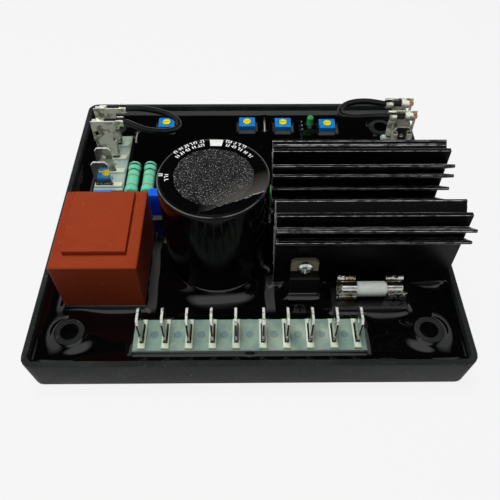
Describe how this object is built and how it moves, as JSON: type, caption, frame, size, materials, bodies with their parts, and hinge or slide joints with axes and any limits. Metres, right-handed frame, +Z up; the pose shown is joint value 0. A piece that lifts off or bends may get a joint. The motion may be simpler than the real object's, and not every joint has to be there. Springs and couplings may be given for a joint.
{
  "type": "automatic voltage regulator",
  "caption": "Potted voltage regulator module for a generator: shallow tray with transformer, smoothing capacitor, finned heat sinks, fuse, blade terminals and turning trimmers.",
  "frame": {"origin": "centre of the tray's underside", "axes": "+X to the right of someone who faces the ten front terminals, +Y away from them, +Z up out of the tray"},
  "size_m": [0.14, 0.128, 0.049],
  "materials": {
    "case": "matt moulded black",
    "resin": "glossy black potting",
    "board": "satin green laminate, tinned where wires stand on it",
    "transformer": "satin red-brown moulding",
    "can": "satin",
    "sleeve": "glossy black shrunk film",
    "disc": "speckled dark",
    "anodised": "black anodised",
    "nylon": "pale grey-green, slightly translucent",
    "tinned": "bright tin plate",
    "device": "dark moulding and tab",
    "steel": "bright nickel plate",
    "wire": "satin black insulation",
    "blue": "satin blue",
    "yellow": "satin yellow",
    "ceramic": "glazed white ceramic",
    "bakelite": "satin black",
    "led": "clear green",
    "deep_blue": "glossy dipped blue",
    "green": "glossy dipped green",
    "mint": "glossy mint with bands"
  },
  "bodies": {
    "root": {"case_tray": "case", "potting_resin": "resin", "circuit_board": "board", "transformer": "transformer", "capacitor_can": "can", "capacitor_sleeve": "sleeve", "capacitor_top_disc": "disc", "front_heat_sink": "anodised", "rear_heat_sink": "anodised", "front_power_transistor": "device", "rear_power_transistor": "device", "front_transistor_screw": "steel", "rear_transistor_screw": "steel", "fuse_cap_left": "steel", "fuse_cap_right": "steel", "front_terminal_strip_left": "nylon", "front_terminal_strip_right": "nylon", "left_terminal_block": "nylon", "right_terminal_block": "nylon", "front_blade_01": "tinned", "front_blade_02": "tinned", "front_blade_03": "tinned", "front_blade_04": "tinned", "front_blade_05": "tinned", "front_blade_06": "tinned", "front_blade_07": "tinned", "front_blade_08": "tinned", "front_blade_09": "tinned", "front_blade_10": "tinned", "left_blade_1": "tinned", "left_blade_2": "tinned", "left_blade_3": "tinned", "left_blade_4": "tinned", "right_blade_1": "tinned", "right_blade_2": "tinned", "left_front_receptacle": "tinned", "left_rear_receptacle": "tinned", "right_front_receptacle": "tinned", "right_rear_receptacle": "tinned", "fuse_clip_left": "tinned", "fuse_clip_right": "tinned", "left_jumper_wire": "wire", "right_jumper_wire": "wire", "trimmer_1_body": "blue", "trimmer_2_body": "blue", "trimmer_3_body": "blue", "trimmer_4_body": "blue", "trimmer_5_body": "blue", "fuse_tube": "ceramic", "fuse_holder_base": "bakelite", "status_led": "led", "blue_capacitor": "deep_blue", "green_capacitor": "green", "resistor_left": "mint", "resistor_right": "mint"},
    "rotor_1": {"trimmer_1_rotor": "yellow"},
    "rotor_2": {"trimmer_2_rotor": "yellow"},
    "rotor_3": {"trimmer_3_rotor": "yellow"},
    "rotor_4": {"trimmer_4_rotor": "yellow"},
    "rotor_5": {"trimmer_5_rotor": "yellow"}
  },
  "joints": [
    {"name": "trimmer_1_turn", "type": "hinge", "parent": "root", "child": "rotor_1", "pos_m": [-0.035, 0.052, 0.0131], "axis": [0, 0, 1], "range_deg": [-130, 130]},
    {"name": "trimmer_2_turn", "type": "hinge", "parent": "root", "child": "rotor_2", "pos_m": [-0.00029, 0.0522, 0.0131], "axis": [0, 0, 1], "range_deg": [-130, 130]},
    {"name": "trimmer_3_turn", "type": "hinge", "parent": "root", "child": "rotor_3", "pos_m": [0.0152, 0.0517, 0.0131], "axis": [0, 0, 1], "range_deg": [-130, 130]},
    {"name": "trimmer_4_turn", "type": "hinge", "parent": "root", "child": "rotor_4", "pos_m": [0.0342, 0.0509, 0.0131], "axis": [0, 0, 1], "range_deg": [-130, 130]},
    {"name": "trimmer_5_turn", "type": "hinge", "parent": "root", "child": "rotor_5", "pos_m": [-0.0561, 0.0083, 0.0131], "axis": [0, 0, 1], "range_deg": [-130, 130]}
  ]
}
